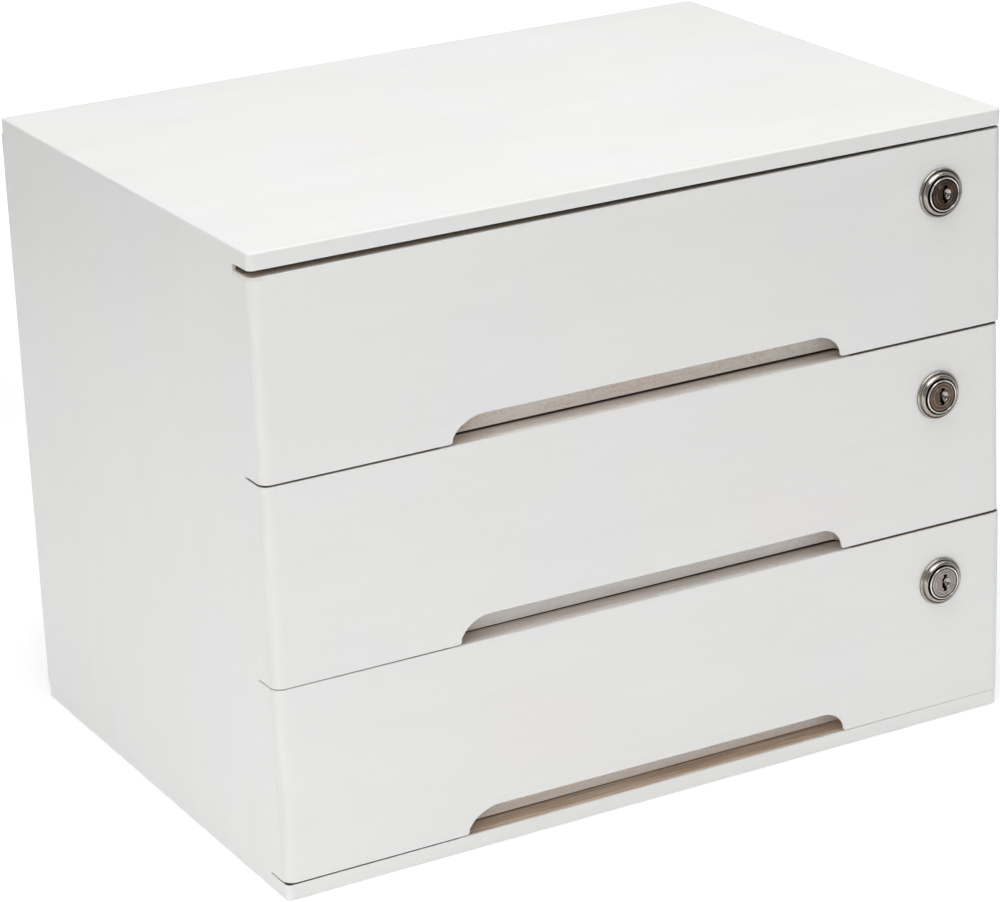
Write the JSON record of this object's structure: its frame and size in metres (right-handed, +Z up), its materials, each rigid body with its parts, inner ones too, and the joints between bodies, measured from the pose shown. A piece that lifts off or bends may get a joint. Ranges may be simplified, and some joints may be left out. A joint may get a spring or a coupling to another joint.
{
  "type": "drawer cabinet",
  "caption": "White painted wooden desktop cabinet with stacked full-width drawers, a routed finger recess and a turning cam lock in each drawer front.",
  "frame": {"origin": "bottom centre of the whole object's box, on the surface it stands on", "axes": "+Z up, +Y to the back so the drawer fronts face -Y, +X to the right as seen from the front"},
  "size_m": [0.364, 0.2588, 0.2807],
  "materials": {
    "white_paint": "satin white paint over wood",
    "plain_plywood": "bare light plywood, lightly sanded",
    "lock_nickel": "turned satin nickel",
    "zinc_steel": "bright zinc plate",
    "wafer_brass": "stamped brass"
  },
  "bodies": {
    "cabinet": {"top_panel": "white_paint", "bottom_panel": "white_paint", "left_side": "white_paint", "right_side": "white_paint", "back_panel": "white_paint", "back_panel_pins": "zinc_steel", "upper_shelf": "plain_plywood", "lower_shelf": "plain_plywood"},
    "top_drawer": {"top_drawer_front": "white_paint", "top_drawer_left_side": "plain_plywood", "top_drawer_right_side": "plain_plywood", "top_drawer_back": "plain_plywood", "top_drawer_bottom": "plain_plywood", "top_lock_housing": "lock_nickel", "top_lock_nut": "zinc_steel"},
    "top_lock": {"top_lock_plug": "lock_nickel", "top_lock_wafers": "wafer_brass", "top_lock_cam": "zinc_steel", "top_lock_washer": "zinc_steel", "top_lock_screw": "zinc_steel"},
    "middle_drawer": {"middle_drawer_front": "white_paint", "middle_drawer_left_side": "plain_plywood", "middle_drawer_right_side": "plain_plywood", "middle_drawer_back": "plain_plywood", "middle_drawer_bottom": "plain_plywood", "middle_lock_housing": "lock_nickel", "middle_lock_nut": "zinc_steel"},
    "middle_lock": {"middle_lock_plug": "lock_nickel", "middle_lock_wafers": "wafer_brass", "middle_lock_cam": "zinc_steel", "middle_lock_washer": "zinc_steel", "middle_lock_screw": "zinc_steel"},
    "bottom_drawer": {"bottom_drawer_front": "white_paint", "bottom_drawer_left_side": "plain_plywood", "bottom_drawer_right_side": "plain_plywood", "bottom_drawer_back": "plain_plywood", "bottom_drawer_bottom": "plain_plywood", "bottom_lock_housing": "lock_nickel", "bottom_lock_nut": "zinc_steel"},
    "bottom_lock": {"bottom_lock_plug": "lock_nickel", "bottom_lock_wafers": "wafer_brass", "bottom_lock_cam": "zinc_steel", "bottom_lock_washer": "zinc_steel", "bottom_lock_screw": "zinc_steel"}
  },
  "joints": [
    {"name": "top_drawer_slide", "type": "slide", "parent": "cabinet", "child": "top_drawer", "axis": [0, -1, 0], "range_m": [0, 0.19]},
    {"name": "top_lock_turn", "type": "hinge", "parent": "top_drawer", "child": "top_lock", "pos_m": [0.1472, -0.1256, 0.2483], "axis": [0, 1, 0], "range_deg": [0, 90]},
    {"name": "middle_drawer_slide", "type": "slide", "parent": "cabinet", "child": "middle_drawer", "axis": [0, -1, 0], "range_m": [0, 0.19]},
    {"name": "middle_lock_turn", "type": "hinge", "parent": "middle_drawer", "child": "middle_lock", "pos_m": [0.1461, -0.1256, 0.1561], "axis": [0, 1, 0], "range_deg": [0, 90]},
    {"name": "bottom_drawer_slide", "type": "slide", "parent": "cabinet", "child": "bottom_drawer", "axis": [0, -1, 0], "range_m": [0, 0.19]},
    {"name": "bottom_lock_turn", "type": "hinge", "parent": "bottom_drawer", "child": "bottom_lock", "pos_m": [0.1477, -0.1256, 0.0675], "axis": [0, 1, 0], "range_deg": [0, 90]}
  ]
}
